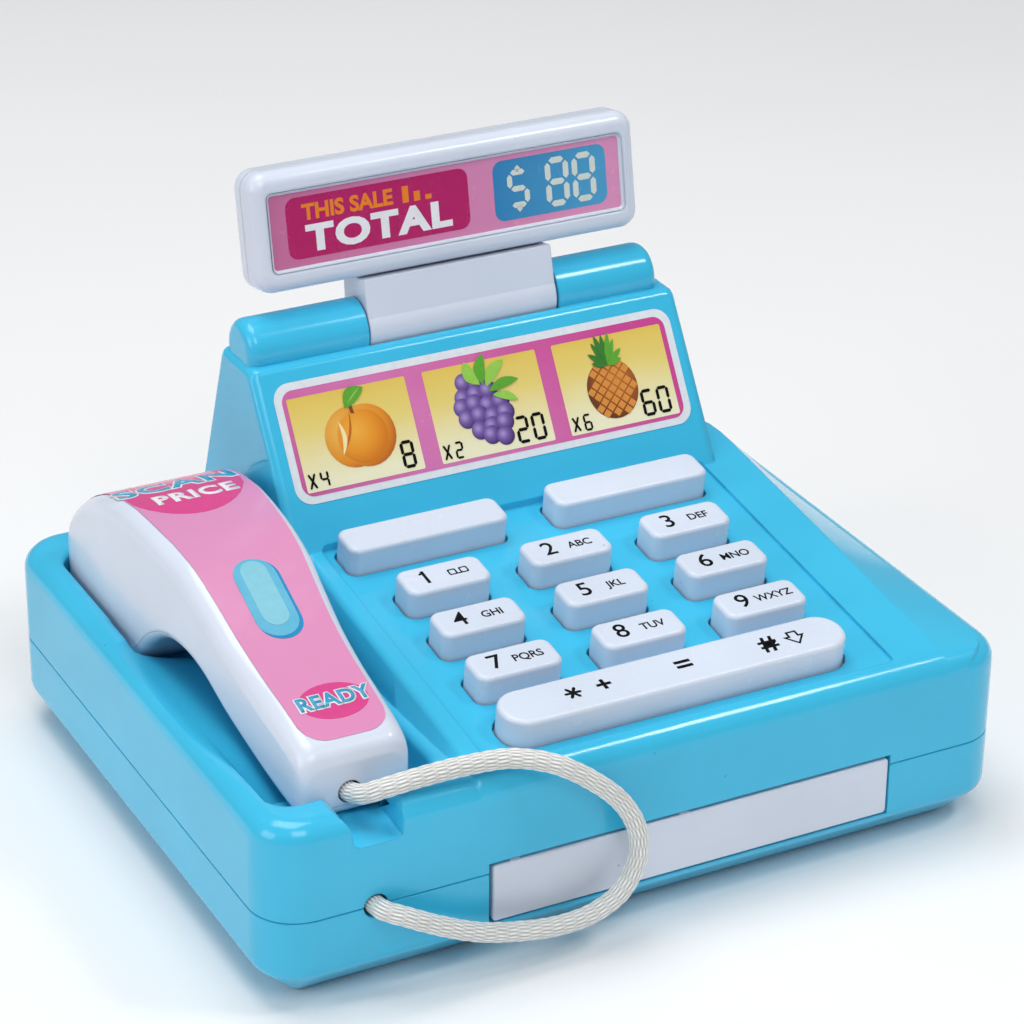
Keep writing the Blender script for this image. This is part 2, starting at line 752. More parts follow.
def left_rim(solid):
    """The broad soft rim that dips for the fingers and slopes down under the scanner's handle: its
    filling below, or the cutter for everything above it. Each row of crest: x, the height at both ends
    of the slope for the filling and for the cutter, and the height along its middle. Each pair of dip:
    y, and how far the rim has gone from its height at the ends to that of its middle."""
    crest = ((-74.2, 0, 38, 38), (-73.2, 0, 37.6, 36.9), (-72.2, 0, 37.7, 36.7), (-71.2, 0, 37.7, 36.4),
             (-70.2, 35, 37.5, 36), (-69.2, 34.4, 35.6, 35.6), (-68, 32.4, 33.7, 35.2),
             (-66.6, 31, 32.2, 34.8), (-65, 29.8, 31, 34.3), (-63, 28.9, 30, 33.7), (-60.6, 28.3, 29.3, 33),
             (-57.5, 28.2, 29, 32), (-54, 28.2, 28.95, 31), (-50, 28.2, 28.95, 30), (-46.5, 28.2, 28.95, 29))
    rings = []
    dip = ((-50, 0), (-47, 0.05), (-44, 0.14), (-41, 0.26), (-38, 0.4), (-35, 0.54), (-32, 0.67),
           (-29, 0.79), (-26, 0.89), (-23, 0.96), (-20, 1), (-12, 1), (-4, 1), (2, 1), (6, 0.99), (8, 0.95),
           (10, 0.87), (12, 0.7), (13, 0.42), (14, 0.05))
    for y, full in dip:
        if solid:
            line = [(x, y, low + (high + 0.3 - low) * full) for x, low, _, high in crest[4:-1]]
            rings.append([*line, (-50, y, 27), (-70.2, y, 27)])
        else:
            line = [(x, y, low + (high - low) * full) for x, _, low, high in crest]
            rings.append([(-78, y, 38), *line, (-46.5, y, 46), (-78, y, 46)])
    return hull("left_rim", rings)


def notch():
    """The dip in the front wall for the cord. Its left shoulder is rounded over broadly."""
    rings = []
    for y, floor in ((-66, 30.9), (-61.6, 31.1), (-56, 31.6), (-50, 31.9), (-48, 31.9)):
        left = [(-59.2 - 4.3 * (1 - math.cos(a)), RIM_Z + 0.3 - 4.3 * (1 - math.sin(a)))
                for a in (math.radians(10 * k) for k in range(10))]
        right = [(-49.6 + 2.4 * (1 - math.cos(a)), RIM_Z + 0.3 - 2.4 * (1 - math.sin(a)))
                 for a in (math.radians(90 - 10 * k) for k in range(10))]
        base = [(-49.8, floor + 0.4), (-51.2, floor), (-57.8, floor), (-58.9, floor + 0.5),
                (-59.2, floor + 1.2)]
        outline = [*left, (-64.2, 46), (-47.2, 46), *right, (-49.6, 34.6), *base]
        rings.append([(x, y, z) for x, z in outline])
    return hull("notch", rings)


def key_hole(x, u, width, depth, corner):
    hole = plate("key_hole", oblong(x - width / 2 - 0.35, x + width / 2 + 0.35, u - depth / 2 - 0.35,
                                    u + depth / 2 + 0.35, corner), -9, 6)
    return settle(hole, DECK)


def key_spots():
    """Name, place on the deck, width, depth, corner and the places of the stems of every key."""
    spots = []
    for row, u in enumerate(KEY_ROWS):
        for column in (-1, 0, 1):
            spots.append((f"number_key_{row * 3 + column + 2}", CENTRE_X + column * KEY_PITCH_X, u))
    keys = [(name, x, u, KEY_W, KEY_D, 2.1, (0,)) for name, x, u in spots]
    keys += [(f"blank_key_{name}", CENTRE_X + side * BLANK_X, BLANK_U, BLANK_W, KEY_D, 2.1, (0,))
             for name, side in (("left", -1), ("right", 1))]
    keys.append(("enter_bar", CENTRE_X, BAR_U, BAR_W, BAR_D, 4.8, (-BAR_STEM, BAR_STEM)))
    return keys


def make_top_shell():
    low = PART_LINE + SEAM / 2
    body = block("case_top", (-WIDTH / 2, WIDTH / 2), (FRONT_Y, -FRONT_Y), (low, RIM_Z))
    soften(body, upright, CORNER, 12)
    soften(body, level(RIM_Z), RIM_ROUND, 7)
    soften(body, level(low), 0.25, 2)
    add(body, console(0), tower(0))
    for x0, x1, end in ((BARRELS[0], KNUCKLE[0] - 0.4, BARRELS[0]),
                        (KNUCKLE[1] + 0.4, BARRELS[1], BARRELS[1])):
        barrel = rod("barrel", BARREL_R, (x0, HINGE_Y, HINGE_Z), (x1, HINGE_Y, HINGE_Z), 64)
        soften(barrel, level(end, 0), 2.2, 5)
        add(body, barrel)
    inside = block("inside", (-WIDTH / 2 + WALL, WIDTH / 2 - WALL), (FRONT_Y + WALL, -FRONT_Y - WALL),
                   (low - 2, RIM_Z - WALL))
    soften(inside, upright, CORNER - WALL, 6)
    add(inside, console(WALL), tower(WALL))
    carve(inside, cradle(WALL), block("notch_room", (-61.7, -47.63), (-72, -47.9), (29.13, 50)))
    carve(body, inside, cradle(0))
    add(body, left_rim(True))
    carve(body, left_rim(False))
    add(body, block("step", (-67.5, -40), (-53.5, -43), (28, 31.9)))
    # the cord's notch and its hole on the parting line
    carve(body, notch())
    carve(body, rod("cord_hole", CORD_D / 2 + 0.5, (CORD_HOLE_X, -66, PART_LINE),
                    (CORD_HOLE_X, -57, PART_LINE), 32))
    room = rod("knuckle_room", KNUCKLE_R + 0.6, (KNUCKLE[0] - 0.43, HINGE_Y, HINGE_Z),
               (KNUCKLE[1] + 0.43, HINGE_Y, HINGE_Z), 64)
    rear_room = block("knuckle_room_rear", (KNUCKLE[0] - 0.47, KNUCKLE[1] + 0.47),
                      (HINGE_Y + 0.1, HINGE_Y + 12), (HINGE_Z - 3.2, 90))
    carve(body, room)
    carve(body, rear_room)
    carve(body, rod("bearings", TRUNNION_R + 0.3, (KNUCKLE[0] - 5, HINGE_Y, HINGE_Z),
                    (KNUCKLE[1] + 5, HINGE_Y, HINGE_Z), 32))
    field = plate("field", oblong(FIELD[0], FIELD[1], FIELD[2], FIELD[3], 1.2), -FIELD_DEEP, 6)
    carve(body, settle(field, DECK))
    carve(body, gathered("key_holes", [key_hole(*spot[1:6]) for spot in key_spots()]))
    carve(body, block("mouth", (DRAWER[0] - 0.8, DRAWER[1] + 0.3), (FRONT_Y - 2, FRONT_Y + 4),
                      (10, DRAWER[3] + 0.75)))
    # bosses for the case screws and posts for the guide plate
    for x in (-SCREW_X, SCREW_X):
        for y in (-SCREW_Y, SCREW_Y):
            add(body, rod("boss", 3.2, (x, y, 9.3), (x, y, 28 if x < 0 else 36.2), 24))
            carve(body, rod("bore", 1.5, (x, y, 9), (x, y, 24), 24))
    for x, u in ((-29.2, 31.4), (48.2, 31.4), (-3.6, 59.6), (22.2, 59.6)):
        add(body, settle(rod("post", 2.5, (x, u, PLATE_TOP + 0.3), (x, u, -1.5), 24), DECK))
        carve(body, settle(rod("bore", 1.2, (x, u, PLATE_TOP), (x, u, -3.2), 24), DECK))
    return finish_piece(smooth(body), "housing", BLUE, "blue_plastic", "top_shell")


def make_bottom_shell():
    high = PART_LINE - SEAM / 2

    def tub(name, levels):
        return hull(name, [[(x, y, z) for x, y in oblong(
            -WIDTH / 2 + inset, WIDTH / 2 - inset, FRONT_Y + inset, -FRONT_Y - inset,
            max(CORNER - inset, 1), 12)] for z, inset in levels])

    body = tub("case_bottom", ((0, 8.4), (0.3, 7.7), (1, 6.9), (6.6, 1.1), (7.4, 0.45), (8.2, 0.12), (9, 0),
                               (high - 0.25, 0), (high - 0.08, 0.07), (high, 0.25)))
    inside = tub("inside", ((WALL, 9), (9.4, WALL + 0.2), (10, WALL), (high + 3, WALL)))
    carve(body, inside)
    carve(body, block("mouth", (DRAWER[0] - 0.8, DRAWER[1] + 0.3), (FRONT_Y - 2, FRONT_Y + 4),
                      (DRAWER[2] - 0.3, high + 2)))
    for x in (-24, 41):
        add(body, block("rail", (x - 1, x + 1), (FRONT_Y + 9.5, 20), (1.5, DRAWER[2] + 0.3)))
    stop_y = TRAY_REAR - 1.8 - TRAVEL
    for x0, x1 in ((TRAY[0] - 3.6, TRAY[0] - 0.6), (TRAY[1] + 0.6, TRAY[1] + 3.6)):
        add(body, block("stop", (x0, x1), (stop_y - 3, stop_y), (1.5, 16)))
    add(body, block("rear_stop", (-20, 37), (TRAY_REAR + 0.3, TRAY_REAR + 2.1), (1.5, 14)))
    for x in (-SCREW_X, SCREW_X):
        for y in (-SCREW_Y, SCREW_Y):
            add(body, rod("tube", 3.9, (x, y, 1), (x, y, 9), 32))
            carve(body, rod("head_bore", 3, (x, y, -1), (x, y, 7), 32),
                  rod("bore", 1.6, (x, y, 5), (x, y, 10), 24))
    carve(body, rod("cord_hole", CORD_D / 2 + 0.5, (CORD_HOLE_X, -66, PART_LINE),
                    (CORD_HOLE_X, -58.5, PART_LINE), 32))
    return finish_piece(smooth(body), "housing", BLUE, "blue_plastic", "bottom_shell")


# ---- keys --------------------------------------------------------------------------------
def make_key(width, depth, corner, stems):
    cap = block("key", (-width / 2, width / 2), (-depth / 2, depth / 2), (FLANGE_TOP - 0.1, KEY_TOP))
    soften(cap, upright, corner, 8)
    soften(cap, level(KEY_TOP), 0.95, 6)
    add(cap, block("flange", (-width / 2 - 1.2, width / 2 + 1.2), (-depth / 2 - 0.9, depth / 2 + 0.9),
                   (FLANGE_BOTTOM, FLANGE_TOP)))
    for stem in stems:
        add(cap, rod("stem", STEM_R, (stem, 0, FLANGE_BOTTOM + 0.2), (stem, 0, STEM_END), 24))
    return smooth(cap)


def make_keys():
    patterns = {}
    for name, x, u, width, depth, corner, stems in key_spots():
        if width not in patterns:
            patterns[width] = make_key(width, depth, corner, stems)
        key = copy_of(patterns[width], f"{name}_cap", DECK @ shift(x, u))
        finish_piece(key, name, KEY, "key_plastic", name)
    discard(*patterns.values())


def lettering(name, words, height, x, y, z, weight, thick=0.03, squeeze=1.0, spacing=1.0):
    """Printed letters as a thin mesh in the frame of their sheet, centred on x and y."""
    bpy.ops.object.select_all(action="DESELECT")
    bpy.ops.object.text_add()
    obj = bpy.context.object
    obj.name = name
    text = obj.data
    text.body = words
    text.align_x = "CENTER"
    text.align_y = "CENTER"
    text.size = height * MM / 0.7
    text.space_character = spacing
    text.offset = weight * MM
    text.extrude = thick / 2 * MM
    text.resolution_u = 4
    bpy.ops.object.convert(target="MESH")
    obj = bpy.context.object
    return settle(obj, shift(x, y, z) @ Matrix.Diagonal((squeeze, 1, 1, 1)))


SEGMENTS = {"0": "abcdef", "1": "bc", "2": "abged", "3": "abgcd", "4": "fgbc", "5": "afgcd", "6": "afgedc",
            "7": "abc", "8": "abcdefg", "9": "abcdfg", "X": "", "$": "afgcd"}


def stroke(a, b, weight, z, thick=0.03):
    """A short bar with pointed ends, as on a calculator's display."""
    a, b = Vector(a), Vector(b)
    on = (b - a).normalized() * weight / 2
    side = Vector((-on.y, on.x))
    outline = [a, a + on + side, b - on + side, b, b - on - side, a + on - side]
    return plate("stroke", outline, z - thick / 2, z + thick / 2)


def counter_digits(name, words, height, x, y, z, weight=0.32, gap=0.1, advance=0.72, narrow=0.46):
    """Digits made of bars, centred on x and y."""
    wide = height * narrow
    pieces = []
    left = x - (len(words) - 1) / 2 * height * advance
    for k, sign in enumerate(words):
        cx = left + k * height * advance
        corner = {c: Vector((cx + sx * wide / 2, y + sy * height / 2)) for c, sx, sy in (
            ("tl", -1, 1), ("tr", 1, 1), ("ml", -1, 0), ("mr", 1, 0), ("bl", -1, -1), ("br", 1, -1))}
        bars = {"a": ("tl", "tr"), "b": ("tr", "mr"), "c": ("mr", "br"), "d": ("bl", "br"), "e": ("ml", "bl"),
                "f": ("tl", "ml"), "g": ("ml", "mr")}
        for bar in SEGMENTS[sign]:
            a, b = (corner[c] for c in bars[bar])
            trim = (b - a).normalized() * gap
            pieces.append(stroke(a + trim, b - trim, weight, z))
        if sign == "X":
            for a, b in (("tl", "br"), ("bl", "tr")):
                pieces.append(stroke(corner[a], corner[b], weight, z + (0.02 if a == "bl" else 0)))
        if sign == "$":
            for end in (1, -1):
                top = Vector((cx, y + end * height * 0.72))
                pieces.append(stroke(top, Vector((cx, y + end * height * 0.5)), weight, z))
    return gathered(name, pieces)


def make_legends():
    """Printed digits, letters and signs on the key tops."""
    words = ("", "ABC", "DEF", "GHI", "JKL", "MNO", "PQRS", "TUV", "WXYZ")
    top = KEY_TOP + 0.015
    for n, (name, x, u, *_) in enumerate(key_spots()[:9]):
        prints = [lettering("digit", str(n + 1), 3.9, x - 3.64, u, top, weight=0.04)]
        if n:
            prints.append(lettering("letters", words[n], 1.9, x + 2.7, u - 0.2, top, weight=0.04,
                                    squeeze=0.95, spacing=0.98))
        else:
            prints.append(stroke((x - 3.4, u + 1.75), (x - 4.6, u + 1.2), 0.5, top + 0.003))
            for side in (-1, 1):
                middle = x + 2.9 + side * 1.15
                outer = plate("loop", oblong(middle - 0.85, middle + 0.85, u - 0.9, u + 0.9, 0.3),
                              top - 0.015, top + 0.015)
                prints.append(carve(outer, plate("loop_hole", oblong(
                    middle - 0.55, middle + 0.55, u - 0.6, u + 0.6, 0.2), top - 1, top + 1)))
            prints.append(stroke((x + 2.2, u - 0.75), (x + 3.6, u - 0.75), 0.3, top))
        legend = settle(gathered(f"{name}_print", prints), DECK)
        finish_piece(legend, name, BLACK, "key_plastic")
    bar = []
    for k, (along, up) in enumerate(((1.75, 0), (0.95, 1.5), (-0.95, 1.5))):
        bar.append(stroke((-11.6 - along, BAR_U - up), (-11.6 + along, BAR_U + up), 0.6, top + 0.003 * k))
    for sign, x, size in (("+", -5.3, 3.9), ("=", 10.9, 4.4), ("#", 28.3, 4.2)):
        bar.append(lettering("sign", sign, size, x, BAR_U, top, weight=0.12))
    arrow = [(32.8, 12.9), (32.8, 11.6), (31.7, 11.6), (33.9, 8.9), (36.1, 11.6), (35, 11.6), (35, 12.9)]
    inner = [(33.2, 12.5), (33.2, 11.2), (32.5, 11.2), (33.9, 9.5), (35.3, 11.2), (34.6, 11.2), (34.6, 12.5)]
    bar.append(carve(plate("arrow", arrow, top - 0.015, top + 0.015),
                     plate("arrow_hole", inner, top - 1, top + 1)))
    legend = settle(gathered("enter_bar_print", bar), DECK)
    finish_piece(legend, "enter_bar", BLACK, "key_plastic")


# ---- drawer ------------------------------------------------------------------------------
def make_drawer():
    x0, x1, low, high = DRAWER
    front = block("coin_drawer", (x0, x1), (FRONT_Y, FRONT_Y + 2.2), (low, high))
    soften(front, lambda a, b: abs(a.x - b.x) < 0.01 and abs(a.z - b.z) < 0.01, 0.7, 3)
    soften(front, level(FRONT_Y, 1), 0.45, 3)
    for x in (x0 + 4.5, x0 + 38.5):
        add(front, block("nub", (x - 1, x + 1), (FRONT_Y + 0.5, FRONT_Y + 2), (high - 1, high + 0.3)))
    floor, rim = low + 0.6, high - 1.6
    tray = block("tray", TRAY, (FRONT_Y + 1.8, TRAY_REAR), (floor, rim))
    soften(tray, upright, 1, 3)
    walls = (TRAY[0] + 1.6, -5.2, -3.8, 20.3, 21.7, TRAY[1] - 1.6)
    for a, b in zip(walls[::2], walls[1::2]):
        bin_room = block("bin", (a, b), (FRONT_Y + 3.4, TRAY_REAR - 1.6), (floor + 1.4, rim + 2))
        soften(bin_room, upright, 1.5, 4)
        soften(bin_room, level(floor + 1.4), 1, 3)
        carve(tray, bin_room)
    carve(tray, block("low_walls", (TRAY[0] + 1.6, TRAY[1] - 1.6), (FRONT_Y + 3.4, TRAY_REAR - 1.6),
                      (rim - 1.5, rim + 2)))
    for ends in ((TRAY[0] - 3.6, TRAY[0] + 1), (TRAY[1] - 1, TRAY[1] + 3.6)):
        add(tray, block("ear", ends, (TRAY_REAR - 1.8, TRAY_REAR), (floor, rim - 3)))
    add(front, tray)
    finish_piece(smooth(front), "cash_drawer", WHITE, "white_plastic", "cash_drawer")


# ---- sign --------------------------------------------------------------------------------
def make_sign():
    x0, x1 = SIGN_CX - SIGN_W / 2, SIGN_CX + SIGN_W / 2
    frame_part = block("sign_frame", (x0, x1), (0, SIGN_H), (-4.95, 0))
    soften(frame_part, upright, 3.6, 8)
    soften(frame_part, level(0), 2.6, 7)
    a0, a1 = SIGN_CX - LABEL_W / 2 - 0.3, SIGN_CX + LABEL_W / 2 + 0.3
    b0, b1 = LABEL_RISE - LABEL_H / 2 - 0.3, LABEL_RISE + LABEL_H / 2 + 0.3
    carve(frame_part, pocket("label_room", (a0, a1), (b0, b1), -1, 0, 1.2, 0.7))
    carve(frame_part, block("inside", (x0 + 2, x1 - 2), (2, SIGN_H - 2), (-6, -2.8)))
    finish_piece(smooth(settle(frame_part, SIGN)), "display", WHITE, "white_plastic", "display_frame")

    back = block("sign_back", (x0, x1), (0, SIGN_H), (-SIGN_DEEP, -5.05))
    soften(back, upright, 3.6, 8)
    soften(back, level(-SIGN_DEEP), 1.8, 5)
    carve(back, block("inside", (x0 + 2, x1 - 2), (2, SIGN_H - 2), (-SIGN_DEEP + 2, -4)))
    for side in (-1, 1):
        x = SIGN_CX + side * 30
        add(back, rod("boss", 3.4, (x, SIGN_H / 2, -SIGN_DEEP + 1), (x, SIGN_H / 2, -5.1), 32))
        carve(back, rod("head_bore", 2.5, (x, SIGN_H / 2, -SIGN_DEEP - 1),
                        (x, SIGN_H / 2, -SIGN_DEEP + 1.5), 32),
              rod("bore", 1.3, (x, SIGN_H / 2, -SIGN_DEEP), (x, SIGN_H / 2, -4), 24))
    settle(back, SIGN)
    profile = [(33.2, 82.4), (36.4, 93.5), (44.6, 93.5), (43.4, 78.2)]
    arm = hull("arm", [[(x, y, z) for y, z in profile] for x in KNUCKLE])
    room = settle(block("room", (x0, x1), (-0.3, SIGN_H), (-5.1, 4)), SIGN)
    carve(arm, room)
    add(back, arm)
    add(back, rod("knuckle", KNUCKLE_R, (KNUCKLE[0], HINGE_Y, HINGE_Z), (KNUCKLE[1], HINGE_Y, HINGE_Z), 72))
    add(back, rod("trunnions", TRUNNION_R, (KNUCKLE[0] - 4.4, HINGE_Y, HINGE_Z),
                  (KNUCKLE[1] + 4.4, HINGE_Y, HINGE_Z), 32))
    finish_piece(smooth(back), "display", WHITE, "white_plastic", "display_back")

    low = -0.95

    def layer(name, shape, material, *nodes):
        shape.name = name
        finish_piece(settle(shape, SIGN), "display", material, "printed_sticker", *nodes)

    layer("sign_label", plate("label", oblong(a0 + 0.3, a1 - 0.3, b0 + 0.3, b1 - 0.3, 1), low, low + 0.2),
          SIGN_PINK, "display_label")
    up = low + 0.24
    cy = LABEL_RISE + 0.2
    for name, left, right, material in (("sign_wide_panel", -25.3, 12.7, MAGENTA),
                                        ("sign_small_panel", 18.1, 42.6, SIGN_BLUE)):
        layer(name, plate("panel", oblong(left, right, cy - 5.9, cy + 5.9, 2), up - 0.03, up), material)
    words = lettering("words", "THIS SALE", 2.9, -12.6, cy + 2.7, up + 0.03, 0.15, squeeze=1.02)
    layer("sign_small_words", words, ORANGE)
    bars = []
    for x, top in ((-1.2, 4.4), (1.2, 3.1), (3.6, 2.1)):
        outline = [(x, cy + 1.2), (x + 1.3, cy + 1.2), (x + 1.3, cy + top), (x, cy + top)]
        bars.append(plate("bar", outline, up, up + 0.05))
    layer("sign_bars", gathered("bars", bars), ORANGE)
    words = lettering("words", "TOTAL", 4.7, -6.4, cy - 2.5, up + 0.03, 0.32, squeeze=1.3, spacing=1.12)
    layer("sign_large_words", words, INK_WHITE)
    mark = counter_digits("mark", "$", 6.4, 23.4, cy, up + 0.03, 1.1, 0.24, narrow=0.56)
    layer("sign_money_mark", mark, SEGMENT_WHITE)
    digits = counter_digits("digits", "88", 8.5, 34.8, cy, up + 0.03, 1.2, 0.34, 0.69)
    layer("sign_digits", digits, SEGMENT_WHITE)


# ---- hand scanner ------------------------------------------------------------------------
def along_scanner(y):
    """Top, underside and half width of the scanner at a place along it."""
    rows = STATIONS
    for k in range(len(rows) - 1):
        if rows[k][0] <= y <= rows[k + 1][0] or k == len(rows) - 2:
            break
    p0, p1, p2, p3 = (rows[min(max(i, 0), len(rows) - 1)] for i in (k - 1, k, k + 1, k + 2))
    span = p2[0] - p1[0]
    t = min(max((y - p1[0]) / span, 0), 1)
    made = []
    for c in (1, 2, 3):
        m1 = (p2[c] - p0[c]) / (p2[0] - p0[0]) * span
        m2 = (p3[c] - p1[c]) / (p3[0] - p1[0]) * span
        made.append((2 * t ** 3 - 3 * t ** 2 + 1) * p1[c] + (t ** 3 - 2 * t ** 2 + t) * m1
                    + (3 * t ** 2 - 2 * t ** 3) * p2[c] + (t ** 3 - t ** 2) * m2)
    return made


def scanner_body(inset):
    places = [-52, -51.6, -51.2, -50.4, -49.4, -48.5]
    places += [-47 + k * 1.5 for k in range(63)]
    places += [47.2, 48.2, 49, 49.7, 50.4]
    rings = []
    for y in places:
        top, under, half = along_scanner(y)
        top, under, half = top - inset, under + inset, half - inset
        left, right = SCAN_X - half, SCAN_X + half
        outline = rounded([(left, under), (right, under), (right, top), (left, top)],
                          [max(2.6 - inset, 0.8)] * 2 + [max(3.6 - inset, 1)] * 2, 6)
        depth = min(max(y, SCAN_FRONT + inset), SCAN_REAR - inset)
        rings.append((depth, outline))
    kept = [r for k, r in enumerate(rings) if k == 0 or r[0] > rings[k - 1][0] + 0.05]
    caps = []
    if not inset:
        for end, step in ((0, -1), (-1, 1)):
            y, outline = kept[end]
            cx = sum(p.x for p in outline) / len(outline)
            cz = sum(p.y for p in outline) / len(outline)
            smaller = [Vector((cx + (p.x - cx) * 0.93, cz + (p.y - cz) * 0.88)) for p in outline]
            caps.append((y + step * 0.25, smaller))
        kept = [caps[0], *kept, caps[1]]
    return hull("scanner_body", [[(x, y, z) for x, z in outline] for y, outline in kept])


def split_cutter(shift_z):
    """Everything above the split between the scanner's two halves."""
    rings = []
    for y in [-80, -60, *[-52 + k * 2 for k in range(52)], 60, 80]:
        top, under, _ = along_scanner(min(max(y, SCAN_FRONT), SCAN_REAR))
        z = under + (top - under) * SCAN_SPLIT + shift_z
        rings.append([(-90, y, z), (-20, y, z), (-20, y, 90), (-90, y, 90)])
    return hull("split", rings)


def make_scanner():
    x, _, z = CORD_ROUTE[0]
    for name, how, shift_z, node in (("scanner_top", "INTERSECT", 0.02, "scanner_shell"),
                                     ("scanner_under", "DIFFERENCE", -0.02, "scanner_base")):
        body = carve(scanner_body(0), scanner_body(SCAN_WALL))
        combine(body, split_cutter(shift_z), how)
        body.name = name
        carve(body, rod("cord_hole", CORD_D / 2 + 0.4, (x, -56, z + 0.1), (x, -48, z + 0.1), 32))
        for y in (-33, 30):
            if node == "scanner_shell":
                foot, head, deep = (43, 48.6, 47) if y < 0 else (42, 55.4, 50)
                add(body, rod("boss", 2.4, (SCAN_X, y, foot), (SCAN_X, y, head), 24))
                carve(body, rod("bore", 1.2, (SCAN_X, y, 39), (SCAN_X, y, deep), 24))
            else:
                floor, up = (35, 41.5) if y < 0 else (29, 40.5)
                add(body, rod("boss", 3.2, (SCAN_X, y, floor + 0.6), (SCAN_X, y, up), 24))
                carve(body, rod("head_bore", 2.3, (SCAN_X, y, floor - 3), (SCAN_X, y, up - 2), 24),
                      rod("bore", 1.3, (SCAN_X, y, floor), (SCAN_X, y, up + 1), 24))
        finish_piece(smooth(body, 40), "scanner", WHITE, "white_plastic", node)


def thicken(obj, thick):
    """Gives a thin sheet its thickness, outwards."""
    only(obj)
    skin = obj.modifiers.new("skin", "SOLIDIFY")
    skin.thickness = thick * MM
    skin.offset = 1
    bpy.ops.object.modifier_apply(modifier=skin.name)
    return obj


def drape(obj, rise):
    """Lays flat printing on the scanner's curved top, in strips, and gives it its thickness."""
    only(obj)
    low, high = (f(v.co.y for v in obj.data.vertices) / MM for f in (min, max))
    bpy.ops.object.mode_set(mode="EDIT")
    y = math.ceil(low)
    while y < high:
        bpy.ops.mesh.select_all(action="SELECT")
        bpy.ops.mesh.bisect(plane_co=(0, y * MM, 0), plane_no=(0, 1, 0))
        y += 1
    bpy.ops.object.mode_set(mode="OBJECT")
    for vertex in obj.data.vertices:
        vertex.co.z = (along_scanner(vertex.co.y / MM)[0] + rise) * MM
    return thicken(obj, PRINT_THICK)


def flat(name, outline):
    """A flat face of an outline, facing up."""
    bpy.ops.object.select_all(action="DESELECT")
    bpy.ops.mesh.primitive_circle_add(vertices=len(outline), radius=MM, fill_type="NGON")
    obj = bpy.context.object
    obj.name = name
    for vertex, (x, y) in zip(obj.data.vertices, outline):
        vertex.co = Vector((x, y, 0)) * MM
    only(obj)
    bpy.ops.object.mode_set(mode="EDIT")
    bpy.ops.mesh.select_all(action="SELECT")
    bpy.ops.mesh.normals_make_consistent(inside=False)
    bpy.ops.object.mode_set(mode="OBJECT")
    if obj.data.polygons[0].normal.z < 0:
        obj.data.flip_normals()
    return settle(obj)


def oval(cx, cy, rx, ry, count=40):
    turns = (k / count * math.tau for k in range(count))
    return [(cx + rx * math.cos(turn), cy + ry * math.sin(turn)) for turn in turns]


def make_scanner_label():
    low_end, high_end = -49.2, 47
    places = [-47 + k * 2 for k in range(48)]
    margin = {1: 2.2, -1: 3.0}

    def edge(y, side):
        reach = 4.4 if y < 0 else 5
        end = min(y - low_end if y < 0 else high_end - y, reach)
        tuck = reach - math.sqrt(max(reach ** 2 - (reach - end) ** 2, 0))
        return SCAN_X + side * (along_scanner(y)[2] - margin[side] - tuck)
    fine = [low_end + d for d in (0, 0.1, 0.3, 0.7, 1.2, 1.8, 2.6)] + [y for y in places if -46 < y < 45.5]
    fine += [45.8, 46.3, 46.7, 46.9, 47]
    outline = [(edge(y, 1), y) for y in fine] + [(edge(y, -1), y) for y in reversed(fine)]

    def layer(name, shape, rise, material, *nodes):
        shape.name = name
        finish_piece(drape(shape, rise), "scanner", material, "printed_sticker", *nodes)
    layer("scanner_sticker", flat("sticker", outline), 0.05, SCANNER_PINK, "scanner_label")

    head_oval = []
    for x, y in oval(SCAN_X - 0.4, 27, 12.6, 16):
        y = min(max(y, -46.9), 46.9)
        half = along_scanner(y)[2] - 3.2
        head_oval.append((min(max(x, SCAN_X - half), SCAN_X + half), y))
    layer("scanner_head_oval", flat("oval", head_oval), 0.11, SCANNER_MAGENTA)

    def pill(grow, dx=0.0, dy=0.0):
        low, high, half = -23.3, -6.3, 4
        return oblong(SCAN_X - half - grow + dx, SCAN_X + half + grow + dx, low - grow + dy, high + grow + dy,
                      half + grow - 0.01, 8)

    layer("scanner_pill_shadow", flat("pill", pill(0.2, 0.35, -0.5)), 0.11, PILL_DARK)
    layer("scanner_pill", flat("pill", pill(0)), 0.17, PILL_MID)
    layer("scanner_pill_middle", flat("pill", pill(-1.5, 0.1, 0.9)), 0.23, PILL_PALE)
    layer("scanner_low_oval", flat("oval", oval(SCAN_X + 1, -40.8, 6.4, 4.4)), 0.11, SCANNER_MAGENTA)

    def words(name, text, height, x, y, rise, weight, material, squeeze=1.0):
        obj = lettering(name, text, height, x, y, 0, weight, 0, squeeze, 1.1)
        finish_piece(drape(obj, rise), "scanner", material, "printed_sticker")
    words("low_words_outline", "READY", 3.1, SCAN_X + 1, -40.6, 0.17, 0.42, INK_WHITE, 0.92)
    words("low_words", "READY", 3.1, SCAN_X + 1, -40.6, 0.23, 0.13, CYAN, 0.92)
    words("head_words_outline", "SCAN", 5.4, SCAN_X - 0.2, 26.4, 0.17, 0.55, INK_WHITE, 1.12)
    words("head_words", "SCAN", 5.4, SCAN_X - 0.2, 26.4, 0.23, 0.2, CYAN, 1.12)
    words("head_words_low", "PRICE", 4.2, SCAN_X + 0.8, 18.9, 0.17, 0.24, INK_WHITE, 0.98)


# ---- price sticker -----------------------------------------------------------------------
def ruffle(x, v):
    """Height of the small bulge in the sticker near the middle of its upper edge."""
    ridge = math.exp(-((x - 14.5 - (23 - v) * 0.5) / 3.2) ** 2) * math.exp(-((23.3 - v) / 3.0) ** 2)
    ripple = math.sin(x * 1.9 + v) * math.exp(-((23.3 - v) / 2.2) ** 2) * math.exp(-((x - 18) / 14) ** 2)
    return 0.35 * ridge + 0.05 * ripple


